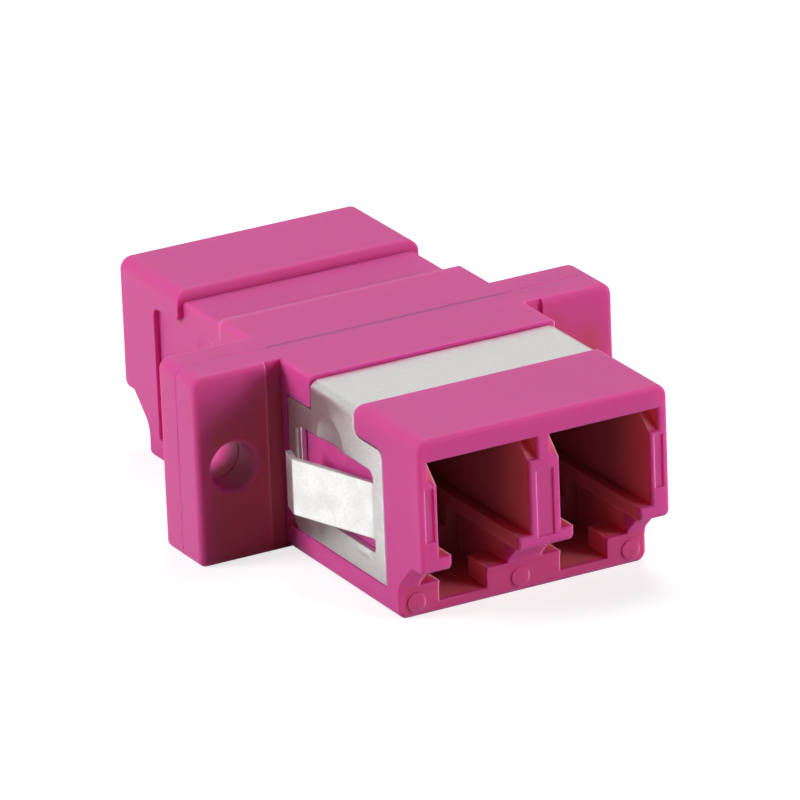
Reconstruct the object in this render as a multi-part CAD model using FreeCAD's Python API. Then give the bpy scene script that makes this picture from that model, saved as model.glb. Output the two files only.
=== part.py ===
import FreeCAD, Part
import math
import os

# LC duplex fibre adapter: two identical moulded halves welded face to face at a
# mounting flange, a stainless panel clip on the front half and two split sleeves inside.
# Millimetres. X across, Y from the front ports to the rear ports, Z up. The origin is
# midway between the two ear holes, on the front face of the flange. Heights are given
# from the flat underside and turned into Z by the function at_height.

# Mounting flange
flange_width = 21.9
flange_height = 9.24
flange_thickness = 3.5
flange_top_corner_radius = 0.55
flange_foot_corner_radius = 0.35
flange_edge_radius = 0.3
seam_bevel = 0.06
screw_spacing = 18.1
screw_hole_diameter = 2.3
screw_hole_lead_in = 0.15
ear_relief_width = 0.85
ear_relief_depth = 0.2

# Body of each half
body_width = 12.8
body_height = 9.3
front_reach = 12.6
latch_side_reach = 10.35
body_top_radius = 0.6
body_foot_radius = 0.45
body_front_radius = 0.22
body_step_radius = 0.45
lip_edge_radius = 0.4
lip_sweep_radius = 1.1
lip_sweep_reach = 1.35
lip_sweep_drop = 1.3
foot_face_bevel = 0.15
neck_top_radius = 0.2

# Ports
port_pitch = 6.25
port_width = 4.72
port_floor_height = 3.58
roof_thickness = 1.1
port_end_wall = 1.5
mouth_edge_bevel = 0.08
notch_width = 5.6
notch_height = 1.07
notch_depth = 1.3
notch_ledge_bevel = 0.4
rail_thickness = 0.73
rail_gap = 3.48
wing_slot_width = 4.54
latch_slot_width = 2.5
latch_slot_floor = 0.52
catch_height = 1.0
catch_length = 1.75
wing_pocket_length = 2.75
beam_channel_height = 0.85
beam_channel_end_wall = 1.0

# Sleeve holders and sleeves
ferrule_diameter = 1.25
sleeve_wall = 0.185
sleeve_length = 6.8
sleeve_slot_width = 0.3
sleeve_end_bevel = 0.06
sleeve_float = 0.05
sleeve_end_float = 0.1
holder_wall = 0.64
holder_lip = 0.6
ferrule_clearance = 0.05
holder_lead_in = 0.3

# Front end details
wall_recess_depth = 0.1
divider_recess_width = 0.88
divider_recess_foot = 3.4
divider_recess_height = 3.2
side_recess_width = 0.46
side_recess_foot = 4.4
side_recess_height = 2.55
side_recess_inset = 0.28
ejector_pad_diameter = 0.9
ejector_pad_height = 0.08
ejector_pad_level = 0.72
ejector_pad_spacing = 5.55
ejector_pad_shift = 0.2

# Panel clip
clip_thickness = 0.27
clip_seat_clearance = 0.02
clip_edge_gap = 0.1
clip_outer_bend = 0.45
strap_set_down = 0.25
strap_start = 2.65
strap_width = 4.0
plate_start = 0.42
plate_length = 8.73
plate_foot_height = 1.3
rear_shoulder_drop = 1.45
front_shoulder_drop = 1.33
plate_heel_radius = 0.85
plate_corner_radius = 0.15
plate_front_corner_radius = 0.35
strap_neck_radius = 0.5
window_start = 1.62
window_length = 6.68
window_foot_height = 2.57
window_top_drop = 1.1
window_corner_radius = 0.42
window_slot_radius = 0.2
tab_root_inset = 0.2
tab_foot_height = 3.22
tab_head_gap = 0.58
tab_reach = 4.55
tab_stand_off = 1.58
tab_lip_length = 1.08
tab_lip_angle = 15.0
tab_root_bend = 0.6
tab_lip_bend = 0.35
dimple_radius = 1.2
dimple_depth = 0.12
dimple_setback = 4.35
dimple_drop = 2.45
bead_radius = 0.6
bead_rise = 0.05
rear_bead_setback = 1.08
rear_bead_foot = 3.3
rear_bead_length = 3.0
foot_bead_setback = 6.6
foot_bead_height = 2.3
foot_bead_length = 1.2

# Values worked out from the sizes above
joint_y = flange_thickness / 2
foot_z = -flange_height / 2
half_body = body_width / 2
port_centres = (-port_pitch / 2, port_pitch / 2)
port_floor_y = joint_y - port_end_wall
port_ceiling_height = body_height - roof_thickness
axis_height = (port_floor_height + port_ceiling_height) / 2
lip_height = port_floor_height - rail_thickness
catch_top_height = latch_slot_floor + catch_height
catch_rear_y = -latch_side_reach + catch_length
wing_pocket_y = catch_rear_y + wing_pocket_length
beam_channel_y = joint_y - port_end_wall - beam_channel_end_wall
sleeve_outer_radius = ferrule_diameter / 2 + sleeve_wall
sleeve_bore_radius = sleeve_outer_radius + sleeve_float
holder_radius = sleeve_bore_radius + holder_wall
holder_depth = sleeve_length / 2 + sleeve_end_float
holder_tip_y = joint_y - holder_depth - holder_lip
ferrule_bore_radius = ferrule_diameter / 2 + ferrule_clearance
clip_recess_depth = clip_thickness + clip_seat_clearance
strap_top_height = body_height - strap_set_down
plate_rear_shoulder = strap_top_height - rear_shoulder_drop
plate_front_shoulder = strap_top_height - front_shoulder_drop
window_top_height = plate_rear_shoulder - window_top_drop
tab_top_height = window_top_height - tab_head_gap
dimple_height = strap_top_height - dimple_drop
clip_inner_half = half_body - clip_thickness
bed_half_width = half_body - clip_recess_depth
bed_height = strap_top_height - clip_recess_depth
bed_radius = clip_outer_bend - clip_recess_depth
strap_front = strap_start + strap_width
plate_front = plate_start + plate_length
window_front = window_start + window_length
neck_front_y = -strap_front - clip_edge_gap
outside = 1.0
tiny = 1e-7
plane_tolerance = 1e-4
least_edge_length = 0.5
least_bend_radius = 0.02


def at_height(height):
    """Z of a height given from the flat underside."""
    return foot_z + height


def vector(x, y, z):
    return FreeCAD.Vector(x, y, z)


def block(x0, x1, y0, y1, z0, z1):
    return Part.makeBox(x1 - x0, y1 - y0, z1 - z0, vector(x0, y0, z0))


def cylinder_along_y(radius, x, z, y0, y1):
    return Part.makeCylinder(radius, y1 - y0, vector(x, y0, z), vector(0, 1, 0))


def cone_along_y(radius_start, radius_end, x, z, y0, y1):
    return Part.makeCone(radius_start, radius_end, y1 - y0, vector(x, y0, z), vector(0, 1, 0))


def corner_arc(before, corner, after, radius):
    """Ends and middle of the arc that rounds a corner to a radius."""
    to_before = (before - corner).normalize()
    to_after = (after - corner).normalize()
    half_angle = to_before.getAngle(to_after) / 2
    reach = radius / math.tan(half_angle)
    bisector = (to_before + to_after).normalize()
    middle = corner + bisector * (radius / math.sin(half_angle) - radius)
    return corner + to_before * reach, middle, corner + to_after * reach


def rounded_edges(corners, closed):
    """Lines and tangent arcs through a list of (point, radius) corners."""
    edges = []
    count = len(corners)
    pen = None
    first = None
    for index in range(count):
        point, radius = corners[index]
        inner = closed or 0 < index < count - 1
        if radius > 0 and inner:
            before = corners[index - 1][0]
            after = corners[(index + 1) % count][0]
            start, middle, end = corner_arc(before, point, after, radius)
        else:
            start, middle, end = point, None, point
        if pen is None:
            first = start
        elif (start - pen).Length > tiny:
            edges.append(Part.LineSegment(pen, start).toShape())
        if middle is not None:
            edges.append(Part.Arc(start, middle, end).toShape())
        pen = end
    if closed and (first - pen).Length > tiny:
        edges.append(Part.LineSegment(pen, first).toShape())
    return edges


def rounded_face(corners):
    return Part.Face(Part.Wire(rounded_edges(corners, True)))


def side_face(x, corners):
    """Face in the plane of one X from (y, height, radius) corners."""
    return rounded_face([(vector(x, y, at_height(h)), r) for y, h, r in corners])


def end_face(y, corners):
    """Face in the plane of one Y from (x, height, radius) corners."""
    return rounded_face([(vector(x, y, at_height(h)), r) for x, h, r in corners])


def section_bar(half_width, foot, top, foot_radius, top_radius, y0, y1):
    """Bar along Y whose section is a rectangle with rounded corners."""
    face = end_face(y0, [
        (-half_width, foot, foot_radius),
        (half_width, foot, foot_radius),
        (half_width, top, top_radius),
        (-half_width, top, top_radius),
    ])
    return face.extrude(vector(0, y1 - y0, 0))


def edges_at(shape, axis, value):
    """Edges that lie in the plane where one coordinate has a value."""
    found = []
    for edge in shape.Edges:
        bounds = edge.BoundBox
        low = getattr(bounds, axis + "Min")
        high = getattr(bounds, axis + "Max")
        if abs(low - value) < plane_tolerance and abs(high - value) < plane_tolerance:
            found.append(edge)
    return found


def long_edges(edges):
    """Edges that run along Y and are more than a rounding's width long."""
    return [edge for edge in edges if edge.BoundBox.YLength > least_edge_length
            and edge.BoundBox.XLength < plane_tolerance]


def mirrored(shape, normal, point=None):
    return shape.mirror(point or vector(0, 0, 0), normal)


def front_box():
    """Raised box round the ports, set back below the lip where the latches go in."""
    profile = side_face(-half_body, [
        (neck_front_y, 0, 0),
        (-latch_side_reach, 0, 0),
        (-latch_side_reach, lip_height - lip_sweep_drop, lip_sweep_radius),
        (-latch_side_reach - lip_sweep_reach, lip_height, 0),
        (-front_reach, lip_height, lip_edge_radius),
        (-front_reach, body_height, 0),
        (neck_front_y, body_height, 0),
    ])
    box = profile.extrude(vector(body_width, 0, 0))
    top_edges = long_edges(edges_at(box, "Z", at_height(body_height)))
    box = box.makeFillet(body_top_radius, top_edges)
    foot_edges = long_edges(edges_at(box, "Z", at_height(0)))
    box = box.makeFillet(body_foot_radius, foot_edges)
    rim = [edge for edge in edges_at(box, "Y", -front_reach) if edge.BoundBox.ZMin > at_height(lip_height)]
    box = box.makeFillet(body_front_radius, rim)
    foot_face = edges_at(box, "Y", -latch_side_reach)
    sides = [edge for edge in foot_face if edge.BoundBox.XLength < foot_face_bevel]
    box = box.makeChamfer(foot_face_bevel, sides)
    return box.cut(step_rounding())


def step_rounding():
    """What is taken off the box's top edge where it steps down to the clip's strap."""
    foot = at_height(body_height - body_step_radius)
    centre = vector(-body_width, neck_front_y - body_step_radius, foot)
    roller = Part.makeCylinder(body_step_radius, 2 * body_width, centre, vector(1, 0, 0))
    corner = block(-body_width, body_width, centre.y, neck_front_y + outside,
                   foot, at_height(body_height + outside))
    return corner.cut(roller)


def neck():
    """Lower, plainer stretch between the box and the flange."""
    return section_bar(half_body, 0, flange_height, body_foot_radius, neck_top_radius, neck_front_y, joint_y)


def flange():
    """Half of the mounting flange, with its screw holes and the relief beside the body."""
    half_width = flange_width / 2
    plate = end_face(0, [
        (-half_width, 0, flange_foot_corner_radius),
        (half_width, 0, flange_foot_corner_radius),
        (half_width, flange_height, flange_top_corner_radius),
        (-half_width, flange_height, flange_top_corner_radius),
    ]).extrude(vector(0, joint_y, 0))
    plate = plate.makeFillet(flange_edge_radius, edges_at(plate, "Y", 0))
    plate = plate.makeChamfer(seam_bevel, edges_at(plate, "Y", joint_y))
    for side in (-1, 1):
        inner = side * half_body
        outer = side * (half_body + ear_relief_width)
        relief = block(min(inner, outer), max(inner, outer), -outside, ear_relief_depth,
                       at_height(-outside), at_height(flange_height + outside))
        hole_x = side * screw_spacing / 2
        radius = screw_hole_diameter / 2
        hole = cylinder_along_y(radius, hole_x, 0, -outside, joint_y + outside)
        seam = cone_along_y(radius, radius + seam_bevel, hole_x, 0, joint_y - seam_bevel, joint_y)
        lead_in = cone_along_y(radius + screw_hole_lead_in, radius, hole_x, 0, 0, screw_hole_lead_in)
        plate = plate.cut(relief).cut(hole).cut(seam).cut(lead_in)
    return plate


def plate_outline(x, margin):
    """Outline of the clip seen from the side, grown by a margin for its seat."""
    top = body_height + outside
    return side_face(x, [
        (-strap_start + margin, top, 0),
        (-strap_start + margin, plate_rear_shoulder + margin, plate_corner_radius),
        (-plate_start + margin, plate_rear_shoulder + margin, plate_corner_radius + margin),
        (-plate_start + margin, plate_foot_height - margin, plate_heel_radius if margin == 0 else 0),
        (-plate_front - margin, plate_foot_height - margin, 0),
        (-plate_front - margin, plate_front_shoulder + margin, plate_front_corner_radius + margin),
        (-strap_front - margin, plate_front_shoulder + margin, strap_neck_radius - margin),
        (-strap_front - margin, top, 0),
    ])


def clip_seat():
    """Recess for the clip, down both sides and over the neck, with a hollow behind each dimple."""
    margin = clip_edge_gap
    prism = plate_outline(-half_body - outside, margin).extrude(vector(body_width + 2 * outside, 0, 0))
    core = section_bar(bed_half_width, -outside, bed_height, 0, bed_radius,
                       -plate_front - outside, outside)
    hollow = dimple_ball(clip_recess_depth)
    return prism.cut(core.cut([hollow, mirrored(hollow, vector(1, 0, 0))]))


def port_cavity(x):
    """Everything that is hollow round one plug: body, latch slot and catch pocket."""
    mouth_y = -front_reach - outside
    half_port = port_width / 2
    cavity = block(x - half_port, x + half_port, mouth_y, port_floor_y,
                   at_height(port_floor_height), at_height(port_ceiling_height))
    ledge = port_ceiling_height - notch_height
    notch = end_face(mouth_y, [
        (x - notch_width / 2, ledge + notch_ledge_bevel / 2, 0),
        (x - half_port, ledge - notch_ledge_bevel / 2, 0),
        (x, ledge - notch_ledge_bevel / 2, 0),
        (x, ledge, 0),
        (x + notch_width / 2, ledge, 0),
        (x + notch_width / 2, port_ceiling_height, 0),
        (x - notch_width / 2, port_ceiling_height, 0),
    ]).extrude(vector(0, outside + notch_depth, 0))
    ramp = side_face(x - body_width, [
        (-front_reach, 0, 0),
        (-front_reach, ledge - notch_ledge_bevel / 2, 0),
        (-front_reach + notch_depth, port_ceiling_height, 0),
        (-front_reach + notch_depth + outside, port_ceiling_height, 0),
        (-front_reach + notch_depth + outside, 0, 0),
    ]).extrude(vector(2 * body_width, 0, 0))
    gap = block(x - rail_gap / 2, x + rail_gap / 2, mouth_y, beam_channel_y,
                at_height(lip_height - beam_channel_height), at_height(port_floor_height))
    wings = block(x - wing_slot_width / 2, x + wing_slot_width / 2, mouth_y, wing_pocket_y,
                  at_height(catch_top_height), at_height(lip_height))
    latch = block(x - latch_slot_width / 2, x + latch_slot_width / 2, mouth_y, wing_pocket_y,
                  at_height(latch_slot_floor), at_height(catch_top_height))
    pocket = block(x - wing_slot_width / 2, x + wing_slot_width / 2, catch_rear_y, wing_pocket_y,
                   at_height(latch_slot_floor), at_height(catch_top_height))
    return cavity.fuse([notch.cut(ramp), gap, wings, latch, pocket]).removeSplitter()


def mouth_edges(half):
    """Edges of the port openings in the front face."""
    found = []
    for edge in edges_at(half, "Y", -front_reach):
        bounds = edge.BoundBox
        for x in port_centres:
            inside = abs(bounds.XMin - x) < notch_width / 2 + mouth_edge_bevel
            inside = inside and abs(bounds.XMax - x) < notch_width / 2 + mouth_edge_bevel
            if inside and bounds.ZMax < at_height(port_ceiling_height + mouth_edge_bevel):
                found.append(edge)
    return found


def sleeve_holder(x):
    """Barrel that stands in the port and keeps one half of a split sleeve."""
    z = at_height(axis_height)
    return cylinder_along_y(holder_radius, x, z, holder_tip_y, port_floor_y)


def sleeve_bore(x):
    """Bore from the joint for the sleeve, and the ferrule's tapered way in at the tip."""
    z = at_height(axis_height)
    end_y = joint_y - holder_depth
    bore = cylinder_along_y(sleeve_bore_radius, x, z, end_y, joint_y + outside)
    funnel = cone_along_y(ferrule_bore_radius + holder_lead_in, ferrule_bore_radius, x, z,
                          holder_tip_y, end_y)
    return bore.fuse(funnel)


def wall_recess(x0, x1, foot, height):
    """Shallow pocket in the front end of a wall between or beside the ports."""
    return block(x0, x1, -front_reach - outside, -front_reach + wall_recess_depth,
                 at_height(foot), at_height(foot + height))


def wall_recesses():
    half_divider = divider_recess_width / 2
    recesses = [wall_recess(-half_divider, half_divider, divider_recess_foot, divider_recess_height)]
    outer = half_body - side_recess_inset
    side = wall_recess(outer - side_recess_width, outer, side_recess_foot, side_recess_height)
    return recesses + [side, mirrored(side, vector(1, 0, 0))]


def ejector_pads():
    """Round marks that the ejector pins leave on the face below the lip."""
    face_y = -latch_side_reach
    return [
        cylinder_along_y(ejector_pad_diameter / 2, x, at_height(ejector_pad_level),
                         face_y - ejector_pad_height, face_y + ejector_pad_height)
        for x in (-ejector_pad_spacing, -ejector_pad_shift, ejector_pad_spacing)
    ]


def housing_half():
    """The front moulding. The rear one is the same moulding turned round."""
    half = front_box().fuse([neck(), flange()]).removeSplitter()
    half = half.cut(clip_seat())
    half = half.cut([port_cavity(x) for x in port_centres])
    half = half.makeChamfer(mouth_edge_bevel, mouth_edges(half))
    half = half.fuse([sleeve_holder(x) for x in port_centres]).removeSplitter()
    half = half.cut([sleeve_bore(x) for x in port_centres])
    half = half.cut(wall_recesses())
    return half.fuse(ejector_pads()).removeSplitter()


def bent_strip(path, thickness, foot, height):
    """Sheet strip of even thickness that stands on edge and follows a bent path."""
    points = [point for point, radius in path]
    directions = [(b - a).normalize() for a, b in zip(points, points[1:])]
    normals = [vector(d.y, -d.x, 0) for d in directions]
    other = [points[0] + normals[0] * thickness]
    for index in range(1, len(points) - 1):
        before, after = normals[index - 1], normals[index]
        mitre = (before + after).normalize()
        other.append(points[index] + mitre * (thickness / mitre.dot(before)))
    other.append(points[-1] + normals[-1] * thickness)
    turns = [0.0]
    for index in range(1, len(points) - 1):
        turn = directions[index - 1].cross(directions[index]).z
        turns.append(thickness if turn > 0 else -thickness)
    turns.append(0.0)
    radii = [radius for point, radius in path]
    back_radii = [max(r + t, least_bend_radius) if r > 0 else 0 for r, t in zip(radii, turns)]
    back_line = list(zip(other, back_radii))
    outline = rounded_edges(path, False)
    back = rounded_edges(back_line, False)
    ends = [Part.LineSegment(points[0], other[0]).toShape(),
            Part.LineSegment(points[-1], other[-1]).toShape()]
    wire = Part.Wire(Part.__sortEdges__(outline + back + ends))
    strip = Part.Face(wire).extrude(vector(0, 0, height))
    strip.translate(vector(0, 0, at_height(foot)))
    return strip


def spring_tab():
    """Tab cut from the left plate's window: rooted in front, leaning out to the rear."""
    outer = -half_body
    root_y = -window_front + tab_root_inset
    lip_angle = math.radians(tab_lip_angle)
    corner = vector(outer - tab_stand_off, root_y + tab_reach, 0)
    lip_end = corner + vector(math.sin(lip_angle), math.cos(lip_angle), 0) * tab_lip_length
    path = [
        (vector(outer, root_y - tab_root_bend, 0), 0),
        (vector(outer, root_y, 0), tab_root_bend),
        (corner, tab_lip_bend),
        (lip_end, 0),
    ]
    return bent_strip(path, clip_thickness, tab_foot_height, tab_top_height - tab_foot_height)


def window_cut():
    """Window in the plates, with a short slot above and below the tab's root."""
    root_y = -window_front + tab_root_inset
    face = side_face(-half_body - outside, [
        (-window_start, window_foot_height, 0),
        (-window_start, window_top_height, 0),
        (-window_front, window_top_height, window_corner_radius),
        (-window_front, tab_top_height, 0),
        (root_y, tab_top_height, 0),
        (root_y, tab_foot_height, 0),
        (-window_front, tab_foot_height, 0),
        (-window_front, window_foot_height, window_slot_radius),
    ])
    return face.extrude(vector(outside + clip_thickness + outside / 2, 0, 0))


def dimple_ball(x_shift):
    """Ball that presses a round dimple into the left plate, or into a face further in."""
    ball_radius = (dimple_radius ** 2 + dimple_depth ** 2) / (2 * dimple_depth)
    centre = vector(-half_body + dimple_depth - ball_radius + x_shift, -dimple_setback,
                    at_height(dimple_height))
    return Part.makeSphere(ball_radius, centre)


def pressed_bead(start, direction, length):
    """Round bar, sunk so that only a low bead stands out of the left plate."""
    centre = start + vector(bead_radius - bead_rise, 0, 0)
    return Part.makeCylinder(bead_radius, length, centre, direction)


def plate_pressings():
    """What the left plate's dimple and its two stiffening beads add to the sheet."""
    outer = -half_body
    inner = outer + clip_thickness
    plate_zone = (-plate_front, -plate_start, at_height(plate_foot_height),
                  at_height(strap_top_height - clip_outer_bend))
    outside_zone = block(outer - outside, outer, *plate_zone)
    inside_zone = block(inner - clip_seat_clearance, inner + outside, *plate_zone)
    beads = [
        pressed_bead(vector(outer, -rear_bead_setback, at_height(rear_bead_foot)),
                     vector(0, 0, 1), rear_bead_length),
        pressed_bead(vector(outer, -foot_bead_setback, at_height(foot_bead_height)),
                     vector(0, -1, 0), foot_bead_length),
    ]
    raised = beads[0].fuse(beads[1]).common(outside_zone)
    pressed_in = dimple_ball(clip_thickness).common(inside_zone)
    return raised, pressed_in


def panel_clip():
    """One stainless strip folded over the neck, with a window and a tab each side."""
    outer = section_bar(half_body, -outside, strap_top_height, 0, clip_outer_bend,
                        -plate_front - outside, outside)
    inner = section_bar(clip_inner_half, -2 * outside, strap_top_height - clip_thickness, 0,
                        clip_outer_bend - clip_thickness, -plate_front - 2 * outside, 2 * outside)
    shape = plate_outline(-half_body - outside, 0).extrude(vector(body_width + 2 * outside, 0, 0))
    sheet = outer.cut(inner).common(shape)
    raised, pressed_in = plate_pressings()
    dimple = dimple_ball(0)
    window = window_cut()
    tab = spring_tab()
    across = vector(1, 0, 0)
    clip = sheet.fuse([raised, mirrored(raised, across), pressed_in, mirrored(pressed_in, across)])
    clip = clip.cut([dimple, mirrored(dimple, across)])
    clip = clip.cut([window, mirrored(window, across)])
    clip = clip.fuse([tab, mirrored(tab, across)]).removeSplitter()
    return clip


def split_sleeve(x):
    """Slotted spring tube that lines up two ferrules at the joint."""
    z = at_height(axis_height)
    start_y = joint_y - sleeve_length / 2
    end_y = joint_y + sleeve_length / 2
    tube = cylinder_along_y(sleeve_outer_radius, x, z, start_y, end_y)
    tube = tube.makeChamfer(sleeve_end_bevel, edges_at(tube, "Y", start_y) + edges_at(tube, "Y", end_y))
    bore = cylinder_along_y(ferrule_diameter / 2, x, z, start_y - outside, end_y + outside)
    slot = block(x - sleeve_slot_width / 2, x + sleeve_slot_width / 2, start_y - outside, end_y + outside,
                 z, z + 2 * sleeve_outer_radius)
    return tube.cut(bore).cut(slot)


def single_solid(shape):
    solids = shape.Solids
    if len(solids) != 1 or not shape.isValid():
        raise ValueError("a piece came out as %d solids, valid %s" % (len(solids), shape.isValid()))
    return solids[0]


def main():
    front = single_solid(housing_half())
    pieces = {
        "front_housing": front,
        "rear_housing": mirrored(front, vector(0, 1, 0), vector(0, joint_y, 0)),
        "panel_clip": single_solid(panel_clip()),
        "split_sleeve_left": single_solid(split_sleeve(port_centres[0])),
        "split_sleeve_right": single_solid(split_sleeve(port_centres[1])),
    }
    os.makedirs("parts", exist_ok=True)
    for name, shape in pieces.items():
        shape.exportStep("parts/" + name + ".step")
        print(name, "volume", round(shape.Volume, 3), "mm3")


main()
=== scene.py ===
"""Looks, stage and camera for a duplex LC fibre adapter with a sprung panel clip."""

import math

import bpy
import numpy as np
from bpy.props import FloatProperty, FloatVectorProperty, PointerProperty
from mathutils import Matrix, Vector


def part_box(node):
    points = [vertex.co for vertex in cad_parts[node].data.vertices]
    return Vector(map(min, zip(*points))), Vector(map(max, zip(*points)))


bl_info = {
    "name": "LC Fibre Adapter",
    "version": (1, 0, 0),
    "blender": (4, 5, 0),
    "location": "View3D > Sidebar > Adapter",
    "description": "Finishes, stage and camera for a duplex fibre adapter",
    "category": "Object",
}

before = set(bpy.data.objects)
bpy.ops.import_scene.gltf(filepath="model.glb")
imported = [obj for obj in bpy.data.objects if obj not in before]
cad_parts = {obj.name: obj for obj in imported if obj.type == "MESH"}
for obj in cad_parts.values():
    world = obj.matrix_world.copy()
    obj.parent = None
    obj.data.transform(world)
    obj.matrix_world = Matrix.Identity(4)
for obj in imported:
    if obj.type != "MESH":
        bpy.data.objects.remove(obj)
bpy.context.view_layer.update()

MM = 0.001
TO_MM = 1000.0
WHITE = (1.0, 1.0, 1.0, 1.0)
HOUSINGS = ("front_housing", "rear_housing")
SLEEVES = ("split_sleeve_left", "split_sleeve_right")

# A Mix node gives one name to the sockets of several kinds, so these go by number.
VALUE_PAIR = (2, 3)
COLOUR_PAIR = (6, 7)
VALUE_RESULT = 0
COLOUR_RESULT = 2

# Places on the adapter, in millimetres, read from the frame where it has them.
foot_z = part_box("front_housing")[0].z * TO_MM
front_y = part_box("front_housing")[0].y * TO_MM
rear_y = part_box("rear_housing")[1].y * TO_MM
joint_y = (front_y + rear_y) / 2
half_length = (rear_y - front_y) / 2
flange_half_thickness = 1.75
port_half_pitch = 3.125
port_half_width = 2.4
notch_half_width = 2.84
port_foot = foot_z + 2.82
notch_foot = foot_z + 6.97
port_ceiling = foot_z + 8.24
slot_half_width = 2.3
slot_floor = foot_z + 0.48
slot_set_back = 2.25
seam_half_width = 0.065
port_edge = 0.02

# Where shade is painted on the plastic, low on the flange and on the end faces below the ports: none at
# a pair's first value, and all of it at the second.
# The first pair is how squarely a face looks along Y, and the others are millimetres.
broad_facing = (0.6, 0.95)
ear_fade = (10.95, 9.7)
ear_rise = (4.2, 1.1)
inner_fade = (9.4, 7.4)
inner_rise = (4.8, 2.4)
foot_face_rise = (-1.0, -2.4)
foot_face_share = 0.45
face_margin = 0.05
foot_face_margin = 0.12

# Noise that all finishes share.
noise_detail = 3.0
grain_fineness = 0.6
mottle_fineness = 0.55
mottle_range = (0.3, 0.7)
edge_samples = 6

# Finish of the plastic.
plastic_mottle_per_mm = 0.12
plastic_mottle_share = 0.25
plastic_roughness_spread = 0.06
plastic_ior = 1.5
plastic_specular = 0.25
plastic_relief = 0.5
reach_by_colour = (1.0, 0.5, 0.6)

# Finish of the steel.
steel_mottle_share = 0.35
steel_speckle_range = (0.35, 0.65)
steel_metallic = 0.92
steel_smoother = 0.04
steel_rougher = 0.05
steel_relief = 0.6
steel_edge_radius = 0.1

# Finish of the bronze.
bronze_mottle_per_mm = 1.2
bronze_mottle_share = 0.2
bronze_roughness = (0.25, 0.4)
bronze_grain_height = 0.004
bronze_relief = 0.4
bronze_edge_radius = 0.03

# Floor and sky. Both show pale to the camera and in reflections, where the floor is darker close
# to the adapter, which shades it there. Each pair is where that shade starts to clear and where
# it ends, in millimetres from the adapter's middle.
floor_glow = 0.75
sky_glow = 0.73
mirrored_floor = 1.28
mirrored_shade = 0.4
shade_ends_aside = (8.6, 11.6)
shade_ends_ahead = (14.0, 17.5)
floor_roughness = 0.9
floor_specular = 0.1

# The floor's half side in metres, its drop below the adapter's foot in millimetres, and its grid.
floor_half_size = 1.5
floor_gap = 0.01
floor_points_per_side = 3

# Lamps: places and widths in metres, and the share of a side lamp's light that glints.
top_lamp_place = (0.06, 0.07, 0.23)
top_lamp_width = 0.12
left_lamp_place = (-0.22, 0.07, 0.09)
front_lamp_place = (0.138, -0.19, 0.048)
side_lamp_width = 0.10
glint_share = 0.2

# Camera: place in metres, angles in degrees, lens and sensor in millimetres.
camera_place = (-0.17739, -0.32939, 0.14614)
camera_yaw = 28.25
camera_pitch = 21.17
camera_roll = -2.27
camera_lens = 395.0
sensor_width = 36.0
nearest = 0.01
farthest = 10.0


def add_node(tree, kind, inputs=None, **settings):
    """Adds a shader node, sets its options, and gives each named or numbered input a value or a link."""
    node = tree.nodes.new(kind)
    for key, value in settings.items():
        setattr(node, key, value)
    for key, value in (inputs or {}).items():
        socket = node.inputs[key]
        if isinstance(value, bpy.types.NodeSocket):
            tree.links.new(value, socket)
        else:
            socket.default_value = value
    return node


def maths(tree, operation, first, second=0.0):
    """One Math node's result."""
    node = add_node(tree, "ShaderNodeMath", {0: first, 1: second}, operation=operation)
    return node.outputs[0]


def both(tree, first, second):
    """The product of two masks."""
    return maths(tree, "MULTIPLY", first, second)


def either(tree, first, second):
    """The greater of two masks."""
    return maths(tree, "MAXIMUM", first, second)


def ramp_between(tree, value, low, high):
    """0 at one value and 1 at another, smooth between them."""
    node = add_node(tree, "ShaderNodeMapRange", {"Value": value, "From Min": low, "From Max": high},
                    interpolation_type="SMOOTHSTEP")
    return node.outputs["Result"]


def scale_mask(tree, mask, low, high):
    """A mask from 0 to 1, stretched to run from one value to another."""
    node = add_node(tree, "ShaderNodeMapRange", {"Value": mask, "To Min": low, "To Max": high})
    return node.outputs["Result"]


def mix_colours(tree, factor, first, second):
    """The first colour where the factor is 0, and the second where it is 1."""
    node = add_node(tree, "ShaderNodeMix", {"Factor": factor}, data_type="RGBA")
    for key, value in zip(COLOUR_PAIR, (first, second)):
        if isinstance(value, bpy.types.NodeSocket):
            tree.links.new(value, node.inputs[key])
        else:
            node.inputs[key].default_value = (*value, 1.0)
    return node.outputs[COLOUR_RESULT]


def place_in_mm(tree):
    """The shaded point in millimetres, and its three parts."""
    coordinates = add_node(tree, "ShaderNodeTexCoord")
    scaled = add_node(tree, "ShaderNodeVectorMath",
                      {0: coordinates.outputs["Object"], "Scale": TO_MM}, operation="SCALE")
    parts = add_node(tree, "ShaderNodeSeparateXYZ", {0: scaled.outputs["Vector"]})
    return scaled.outputs["Vector"], parts.outputs


def off_joint(tree, parts):
    """Distance from the joint of the two halves, in millimetres."""
    return maths(tree, "ABSOLUTE", maths(tree, "SUBTRACT", parts["Y"], joint_y))


def new_group(name, inputs, outputs):
    """An empty shader node group with its sockets, and its two end nodes."""
    group = bpy.data.node_groups.new(name, "ShaderNodeTree")
    for label, kind, default in inputs:
        socket = group.interface.new_socket(label, in_out="INPUT", socket_type=kind)
        if default is not None:
            socket.default_value = default
    for label, kind in outputs:
        group.interface.new_socket(label, in_out="OUTPUT", socket_type=kind)
    return group, group.nodes.new("NodeGroupInput"), group.nodes.new("NodeGroupOutput")


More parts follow.
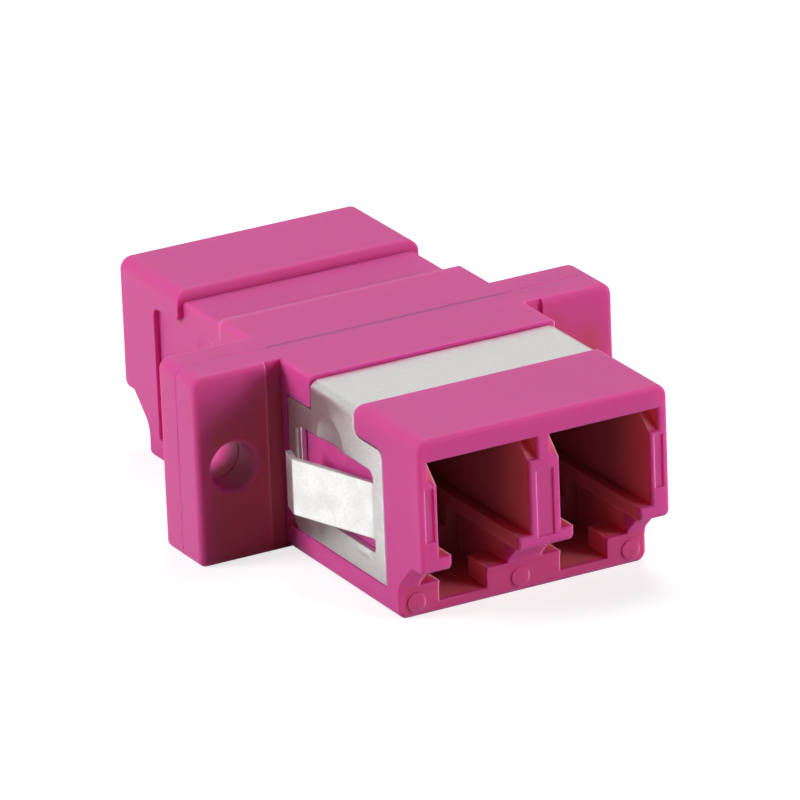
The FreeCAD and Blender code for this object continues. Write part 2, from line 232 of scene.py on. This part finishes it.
def surface_grain_group():
    """Fine grain and slow mottling, as heights and as a tone from 0 to 1, for any finish."""
    name = "Surface grain"
    if name in bpy.data.node_groups:
        return bpy.data.node_groups[name]
    group, start, end = new_group(name, [
        ("Vector", "NodeSocketVector", None),
        ("Grain per mm", "NodeSocketFloat", 8.0),
        ("Mottle per mm", "NodeSocketFloat", 0.6),
        ("Mottle share", "NodeSocketFloat", 0.3),
    ], [
        ("Height", "NodeSocketFloat"),
        ("Mottle", "NodeSocketFloat"),
        ("Grain", "NodeSocketFloat"),
    ])
    place = start.outputs["Vector"]
    grain = add_node(group, "ShaderNodeTexNoise", {
        "Vector": place,
        "Scale": start.outputs["Grain per mm"],
        "Detail": noise_detail,
        "Roughness": grain_fineness,
    })
    mottle = add_node(group, "ShaderNodeTexNoise", {
        "Vector": place,
        "Scale": start.outputs["Mottle per mm"],
        "Detail": noise_detail,
        "Roughness": mottle_fineness,
    })
    fine, slow = VALUE_PAIR
    height = add_node(group, "ShaderNodeMix", {
        "Factor": start.outputs["Mottle share"],
        fine: grain.outputs["Fac"],
        slow: mottle.outputs["Fac"],
    })
    group.links.new(height.outputs[VALUE_RESULT], end.inputs["Height"])
    group.links.new(ramp_between(group, mottle.outputs["Fac"], *mottle_range), end.inputs["Mottle"])
    group.links.new(grain.outputs["Fac"], end.inputs["Grain"])
    return group


def grain_outputs(tree, place, grain_per_mm, mottle_per_mm, mottle_share):
    """Outputs of the shared grain group, placed in a material with its own values."""
    node = add_node(tree, "ShaderNodeGroup", node_tree=surface_grain_group())
    tree.links.new(place, node.inputs["Vector"])
    node.inputs["Grain per mm"].default_value = grain_per_mm
    node.inputs["Mottle per mm"].default_value = mottle_per_mm
    node.inputs["Mottle share"].default_value = mottle_share
    return node.outputs


def new_material(name):
    """A material with only its Principled shader and output."""
    material = bpy.data.materials.new(name)
    material.use_nodes = True
    shader = material.node_tree.nodes["Principled BSDF"]
    return material, material.node_tree, shader


def bump_into(tree, shader, height, distance, strength, edge_radius=0.0):
    """Fine relief, over normals that turn softly at each edge where a radius is given."""
    bump = add_node(tree, "ShaderNodeBump", {
        "Height": height, "Distance": distance * MM, "Strength": strength})
    if edge_radius:
        soft = add_node(tree, "ShaderNodeBevel", {"Radius": edge_radius * MM}, samples=edge_samples)
        tree.links.new(soft.outputs["Normal"], bump.inputs["Normal"])
    tree.links.new(bump.outputs["Normal"], shader.inputs["Normal"])


def inside_box(tree, across, half_width, up, low, high):
    """1 where the point is within half a width of a port's middle and between two heights."""
    narrow = maths(tree, "LESS_THAN", across, half_width)
    above = maths(tree, "GREATER_THAN", up, low)
    below = maths(tree, "LESS_THAN", up, high)
    return both(tree, narrow, both(tree, above, below))


def depth_in_ports(tree, parts):
    """How deep in a port or a latch slot the point lies, in millimetres, and 0 on every outer face."""
    off_middle = maths(tree, "ABSOLUTE", parts["X"])
    across = maths(tree, "ABSOLUTE", maths(tree, "SUBTRACT", off_middle, port_half_pitch))
    along = off_joint(tree, parts)
    up = parts["Z"]
    port = inside_box(tree, across, port_half_width, up, port_foot, port_ceiling)
    notch = inside_box(tree, across, notch_half_width, up, notch_foot, port_ceiling)
    slot = inside_box(tree, across, slot_half_width, up, slot_floor, port_foot)
    behind_front = maths(tree, "SUBTRACT", half_length, along)
    behind_lip = maths(tree, "SUBTRACT", half_length - slot_set_back, along)
    port_depth = both(tree, behind_front, either(tree, port, notch))
    slot_depth = both(tree, behind_lip, slot)
    return either(tree, port_depth, slot_depth)


def painted_shade_faces(tree, parts):
    """Where shade is painted: 1 low on the flange's broad faces, some on the end faces below the ports,
    and 0 elsewhere.
    """
    normal = add_node(tree, "ShaderNodeNewGeometry").outputs["True Normal"]
    facing = add_node(tree, "ShaderNodeSeparateXYZ", {0: normal}).outputs["Y"]
    broad = ramp_between(tree, maths(tree, "ABSOLUTE", facing), *broad_facing)
    along = off_joint(tree, parts)
    aside = maths(tree, "ABSOLUTE", parts["X"])
    up = parts["Z"]
    low = both(tree, ramp_between(tree, aside, *ear_fade), ramp_between(tree, up, *ear_rise))
    close = both(tree, ramp_between(tree, aside, *inner_fade), ramp_between(tree, up, *inner_rise))
    on_flange = maths(tree, "LESS_THAN", along, flange_half_thickness + face_margin)
    ear = both(tree, on_flange, either(tree, low, close))
    off_foot = maths(tree, "ABSOLUTE", maths(tree, "SUBTRACT", half_length - slot_set_back, along))
    on_foot = maths(tree, "LESS_THAN", off_foot, foot_face_margin)
    foot = both(tree, both(tree, on_foot, foot_face_share), ramp_between(tree, up, *foot_face_rise))
    return both(tree, broad, either(tree, ear, foot))


def housing_material(settings):
    """Matte violet-pink moulded plastic, with a painted red glow just inside the ports that turns to
    deep warm red painted shade further in, and painted shade low on the flange and below the ports.
    """
    material, tree, shader = new_material("violet moulded plastic")
    place, parts = place_in_mm(tree)
    grain = grain_outputs(tree, place, settings.grain_per_mm, plastic_mottle_per_mm,
                          plastic_mottle_share)
    body = mix_colours(tree, grain["Mottle"], settings.plastic_colour, settings.plastic_mottle)
    # Painted shade low on the flange beside the body and on the end faces below the ports.
    body = mix_colours(tree, painted_shade_faces(tree, parts), body, settings.painted_shade_colour)
    on_seam = maths(tree, "LESS_THAN", off_joint(tree, parts), seam_half_width)
    body = mix_colours(tree, on_seam, body, settings.seam_colour)
    # Painted light inside the ports: a red glow painted just inside each mouth, and painted shade deeper
    # in.
    depth = depth_in_ports(tree, parts)
    near = ramp_between(tree, depth, port_edge, settings.glow_depth)
    far = ramp_between(tree, depth, settings.glow_depth, settings.port_depth)
    warm = mix_colours(tree, far, settings.painted_glow_colour, settings.painted_port_shade_colour)
    tree.links.new(mix_colours(tree, near, body, warm), shader.inputs["Base Color"])
    roughness = scale_mask(tree, grain["Grain"],
                           settings.plastic_roughness - plastic_roughness_spread,
                           settings.plastic_roughness + plastic_roughness_spread)
    tree.links.new(roughness, shader.inputs["Roughness"])
    shader.inputs["IOR"].default_value = plastic_ior
    shader.inputs["Specular IOR Level"].default_value = plastic_specular
    shader.inputs["Subsurface Weight"].default_value = settings.glow_share
    shader.inputs["Subsurface Radius"].default_value = reach_by_colour
    shader.inputs["Subsurface Scale"].default_value = settings.glow_reach * MM
    bump_into(tree, shader, grain["Height"], settings.grain_height, plastic_relief)
    return material


def clip_material(settings):
    """Satin stainless strip: a dull mottled skin over fine rolling grain."""
    material, tree, shader = new_material("satin spring steel")
    place = place_in_mm(tree)[0]
    grain = grain_outputs(tree, place, settings.grain_per_mm, settings.mottle_per_mm,
                          steel_mottle_share)
    colour = mix_colours(tree, grain["Mottle"], settings.steel_colour, settings.steel_mottle)
    speckle = ramp_between(tree, grain["Grain"], *steel_speckle_range)
    colour = mix_colours(tree, both(tree, speckle, settings.speckle), colour, settings.steel_speckle)
    tree.links.new(colour, shader.inputs["Base Color"])
    shader.inputs["Metallic"].default_value = steel_metallic
    roughness = scale_mask(tree, grain["Mottle"],
                           settings.steel_roughness - steel_smoother,
                           settings.steel_roughness + steel_rougher)
    tree.links.new(roughness, shader.inputs["Roughness"])
    bump_into(tree, shader, grain["Height"], settings.grain_height, steel_relief, steel_edge_radius)
    return material


def sleeve_material(settings):
    """Smooth spring bronze."""
    material, tree, shader = new_material("spring bronze")
    place = place_in_mm(tree)[0]
    grain = grain_outputs(tree, place, settings.grain_per_mm, bronze_mottle_per_mm,
                          bronze_mottle_share)
    colour = mix_colours(tree, grain["Mottle"], settings.bronze_colour, settings.bronze_mottle)
    tree.links.new(colour, shader.inputs["Base Color"])
    shader.inputs["Metallic"].default_value = 1.0
    tree.links.new(scale_mask(tree, grain["Grain"], *bronze_roughness), shader.inputs["Roughness"])
    bump_into(tree, shader, grain["Height"], bronze_grain_height, bronze_relief, bronze_edge_radius)
    return material


def floor_material(settings):
    """Matte floor that shows pale to the camera and in reflections, and keeps the adapter's shadow."""
    material, tree, shader = new_material("pale floor")
    shader.inputs["Base Color"].default_value = (*settings.floor_colour, 1.0)
    shader.inputs["Roughness"].default_value = floor_roughness
    shader.inputs["Specular IOR Level"].default_value = floor_specular
    parts = place_in_mm(tree)[1]
    aside = ramp_between(tree, maths(tree, "ABSOLUTE", parts["X"]), *shade_ends_aside)
    ahead = ramp_between(tree, off_joint(tree, parts), *shade_ends_ahead)
    clear = scale_mask(tree, either(tree, aside, ahead), mirrored_shade, mirrored_floor)
    path = add_node(tree, "ShaderNodeLightPath").outputs
    mirrored = both(tree, path["Is Glossy Ray"], clear)
    seen = either(tree, path["Is Camera Ray"], path["Is Transmission Ray"])
    strength = both(tree, either(tree, seen, mirrored), floor_glow)
    light = add_node(tree, "ShaderNodeEmission", {"Color": WHITE, "Strength": strength})
    lit = add_node(tree, "ShaderNodeAddShader", {
        0: shader.outputs["BSDF"], 1: light.outputs["Emission"]})
    tree.links.new(lit.outputs["Shader"], tree.nodes["Material Output"].inputs["Surface"])
    return material


def flat_floor(half_size, level):
    """Square of vertices on an even grid of two parameters, all at one level."""
    side = np.linspace(-half_size, half_size, floor_points_per_side)
    across, along = np.meshgrid(side, side)
    points = np.stack([across.ravel(), along.ravel(), np.full(across.size, level)], axis=1)
    cells = np.arange(side.size - 1)
    corner = (cells[:, None] * side.size + cells[None, :]).ravel()
    beyond = corner + side.size
    faces = np.stack([corner, corner + 1, beyond + 1, beyond], axis=1)
    mesh = bpy.data.meshes.new("floor")
    mesh.from_pydata(points.tolist(), [], faces.tolist())
    return mesh


def add_lamp(name, place, width, power, mirrored=True):
    """Square lamp that faces the adapter, and shows in reflections or not."""
    lamp = bpy.data.lights.new(name, "AREA")
    lamp.shape = "SQUARE"
    lamp.size = width
    lamp.energy = power
    item = bpy.data.objects.new(name, lamp)
    bpy.context.scene.collection.objects.link(item)
    item.location = place
    item.rotation_mode = "QUATERNION"
    item.rotation_quaternion = (-Vector(place)).to_track_quat("-Z", "Y")
    item.visible_camera = False
    item.visible_glossy = mirrored


def add_side_lamp(name, place, power):
    """Two lamps in one place, of which only the weaker one glints in the steel and the plastic."""
    add_lamp(name, place, side_lamp_width, power * (1 - glint_share), mirrored=False)
    add_lamp(name + "_glint", place, side_lamp_width, power * glint_share)


def set_world(level):
    """Even sky: pale to the camera and in reflections, and dim as a source of light."""
    world = bpy.data.worlds.new("sky")
    bpy.context.scene.world = world
    world.use_nodes = True
    tree = world.node_tree
    path = add_node(tree, "ShaderNodeLightPath").outputs
    seen = either(tree, path["Is Camera Ray"], path["Is Glossy Ray"])
    seen = either(tree, seen, path["Is Transmission Ray"])
    background = tree.nodes["Background"]
    background.inputs["Color"].default_value = WHITE
    tree.links.new(scale_mask(tree, seen, level, sky_glow), background.inputs["Strength"])


def add_camera():
    """Camera where the photograph was taken from, turned by yaw, pitch and roll."""
    camera = bpy.data.cameras.new("camera")
    camera.sensor_width = sensor_width
    camera.lens = camera_lens
    camera.clip_start = nearest
    camera.clip_end = farthest
    item = bpy.data.objects.new("camera", camera)
    bpy.context.scene.collection.objects.link(item)
    yaw, pitch, roll = (math.radians(angle) for angle in (camera_yaw, camera_pitch, camera_roll))
    level = Vector((math.cos(yaw), -math.sin(yaw), 0.0))
    forward = Vector((
        math.sin(yaw) * math.cos(pitch),
        math.cos(yaw) * math.cos(pitch),
        -math.sin(pitch),
    ))
    upright = level.cross(forward)
    right = level * math.cos(roll) + upright * math.sin(roll)
    up = upright * math.cos(roll) - level * math.sin(roll)
    turn = Matrix((right, up, -forward)).transposed()
    item.rotation_mode = "QUATERNION"
    item.rotation_quaternion = turn.to_quaternion()
    item.location = camera_place
    bpy.context.scene.camera = item


def dress(names, material):
    """Gives CAD nodes one material."""
    for name in names:
        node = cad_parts[name]
        node.data.materials.clear()
        node.data.materials.append(material)


def colour_property(name, description, default):
    """A colour that a user can pick."""
    return FloatVectorProperty(name=name, description=description, default=default,
                               subtype="COLOR", min=0.0, max=1.0)


def share_property(name, description, default):
    """A value from 0 to 1."""
    return FloatProperty(name=name, description=description, default=default,
                         subtype="FACTOR", min=0.0, max=1.0)


def size_property(name, description, default):
    """A size or a count, whose unit its description gives."""
    return FloatProperty(name=name, description=description, default=default, min=0.0)


def power_property(name, description, default):
    """A lamp's power in watts."""
    return FloatProperty(name=name, description=description, default=default, unit="POWER", min=0.0)


class AdapterHousingSettings(bpy.types.PropertyGroup):
    """Colours and texture of the two moulded halves."""
    plastic_colour: colour_property("Plastic", "Colour of the moulded plastic", (0.645, 0.071, 0.304))
    plastic_mottle: colour_property("Mottle", "Second tone of the plastic, in slow clouds",
                                    (0.625, 0.067, 0.290))
    # Painted glow just inside the ports, and painted shade deep inside them.
    painted_glow_colour: colour_property("Mouth glow", "Warm tone just inside the ports", (0.76, 0.15, 0.20))
    painted_port_shade_colour: colour_property("Port depth", "Tone deep inside the ports", (0.40, 0.115, 0.13))
    # Painted shade: a darker, warmer red painted low on the flange and below the ports.
    painted_shade_colour: colour_property("Corners", "Warm tone low on the flange and below the ports",
                                   (0.56, 0.066, 0.13))
    seam_colour: colour_property("Seam", "Lighter tone of the joint between the halves",
                                 (0.85, 0.066, 0.336))
    plastic_roughness: share_property("Roughness", "Roughness of the plastic", 0.52)
    grain_per_mm: size_property("Grain", "Texture cells in a millimetre", 7.0)
    grain_height: size_property("Grain height", "Height of the moulded texture in millimetres", 0.006)
    glow_share: share_property("Translucency", "Share of light that enters the plastic", 1.0)
    glow_reach: size_property("Reach", "How far red light travels in the plastic, in millimetres", 1.0)
    glow_depth: size_property("Glow depth", "Where the mouth's glow ends, in millimetres", 0.5)
    port_depth: size_property("Dark depth", "Where the deep tone is reached, in millimetres", 4.0)


class AdapterClipSettings(bpy.types.PropertyGroup):
    """Finish of the folded steel clip."""
    steel_colour: colour_property("Steel", "Colour of the strip", (0.79, 0.787, 0.78))
    steel_mottle: colour_property("Mottle", "Second tone of the strip", (0.70, 0.696, 0.687))
    steel_speckle: colour_property("Speckle", "Tone of the fine dark grain", (0.42, 0.41, 0.40))
    speckle: share_property("Speckle share", "How strongly the grain shows", 0.22)
    steel_roughness: share_property("Roughness", "Roughness of the strip", 0.34)
    grain_per_mm: size_property("Grain", "Grain cells in a millimetre", 9.0)
    mottle_per_mm: size_property("Mottle size", "Clouds in a millimetre", 0.9)
    grain_height: size_property("Grain height", "Height of the grain in millimetres", 0.0015)


class AdapterSleeveSettings(bpy.types.PropertyGroup):
    """Finish of the two split sleeves."""
    bronze_colour: colour_property("Bronze", "Colour of the sleeves", (0.74, 0.46, 0.25))
    bronze_mottle: colour_property("Mottle", "Second tone of the sleeves", (0.66, 0.40, 0.22))
    grain_per_mm: size_property("Grain", "Grain cells in a millimetre", 12.0)


class AdapterStageSettings(bpy.types.PropertyGroup):
    """Floor, lamps and sky."""
    floor_colour: colour_property("Floor", "Colour of the floor", (0.45, 0.45, 0.45))
    top_lamp: power_property("Top lamp", "Power of the lamp overhead", 0.29)
    left_lamp: power_property("Left lamp", "Power of the lamp on the left", 0.545)
    front_lamp: power_property("Front lamp", "Power of the lamp at front right", 0.46)
    sky: size_property("Sky", "Level of the light from all round", 0.015)


class AdapterOperator(bpy.types.Operator):
    """Base of the adapter's operators."""
    bl_options = {"REGISTER", "UNDO"}


class ADAPTER_OT_housings(AdapterOperator):
    """Give both moulded halves their plastic."""
    bl_idname = "adapter.finish_housings"
    bl_label = "Finish housings"

    def execute(self, context):
        dress(HOUSINGS, housing_material(context.scene.adapter_housing))
        return {"FINISHED"}


class ADAPTER_OT_clip(AdapterOperator):
    """Give the panel clip its satin steel."""
    bl_idname = "adapter.finish_clip"
    bl_label = "Finish panel clip"

    def execute(self, context):
        dress(("panel_clip",), clip_material(context.scene.adapter_clip))
        return {"FINISHED"}


class ADAPTER_OT_sleeves(AdapterOperator):
    """Give the split sleeves their bronze."""
    bl_idname = "adapter.finish_sleeves"
    bl_label = "Finish sleeves"

    def execute(self, context):
        dress(SLEEVES, sleeve_material(context.scene.adapter_sleeves))
        return {"FINISHED"}


class ADAPTER_OT_stage(AdapterOperator):
    """Add the floor, the lamps, the sky and the camera."""
    bl_idname = "adapter.set_stage"
    bl_label = "Set stage"

    def execute(self, context):
        settings = context.scene.adapter_stage
        floor = bpy.data.objects.new("floor", flat_floor(floor_half_size, (foot_z - floor_gap) * MM))
        context.scene.collection.objects.link(floor)
        floor.data.materials.append(floor_material(settings))
        add_lamp("top_lamp", top_lamp_place, top_lamp_width, settings.top_lamp)
        add_side_lamp("left_lamp", left_lamp_place, settings.left_lamp)
        add_side_lamp("front_lamp", front_lamp_place, settings.front_lamp)
        set_world(settings.sky)
        add_camera()
        context.scene.view_settings.view_transform = "Standard"
        return {"FINISHED"}


class ADAPTER_PT_panel(bpy.types.Panel):
    """Steps and settings of the adapter."""
    bl_idname = "ADAPTER_PT_panel"
    bl_label = "Fibre adapter"
    bl_space_type = "VIEW_3D"
    bl_region_type = "UI"
    bl_category = "Adapter"

    def draw(self, context):
        for operator, settings in STEPS:
            column = self.layout.column(align=True)
            column.operator(operator.bl_idname)
            group = getattr(context.scene, settings)
            for key in group.__annotations__:
                column.prop(group, key)


STEPS = (
    (ADAPTER_OT_housings, "adapter_housing"),
    (ADAPTER_OT_clip, "adapter_clip"),
    (ADAPTER_OT_sleeves, "adapter_sleeves"),
    (ADAPTER_OT_stage, "adapter_stage"),
)
SETTINGS = {
    "adapter_housing": AdapterHousingSettings,
    "adapter_clip": AdapterClipSettings,
    "adapter_sleeves": AdapterSleeveSettings,
    "adapter_stage": AdapterStageSettings,
}
CLASSES = (*SETTINGS.values(), *(step[0] for step in STEPS), ADAPTER_PT_panel)


def register():
    """Registers every class and gives the scene its settings."""
    for item in CLASSES:
        bpy.utils.register_class(item)
    for name, group in SETTINGS.items():
        setattr(bpy.types.Scene, name, PointerProperty(type=group))


def unregister():
    """Takes back what register does."""
    for name in SETTINGS:
        delattr(bpy.types.Scene, name)
    for item in reversed(CLASSES):
        bpy.utils.unregister_class(item)


def main():
    """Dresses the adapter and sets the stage."""
    register()
    bpy.ops.adapter.finish_housings()
    bpy.ops.adapter.finish_clip()
    bpy.ops.adapter.finish_sleeves()
    bpy.ops.adapter.set_stage()


if __name__ == "__main__":
    main()
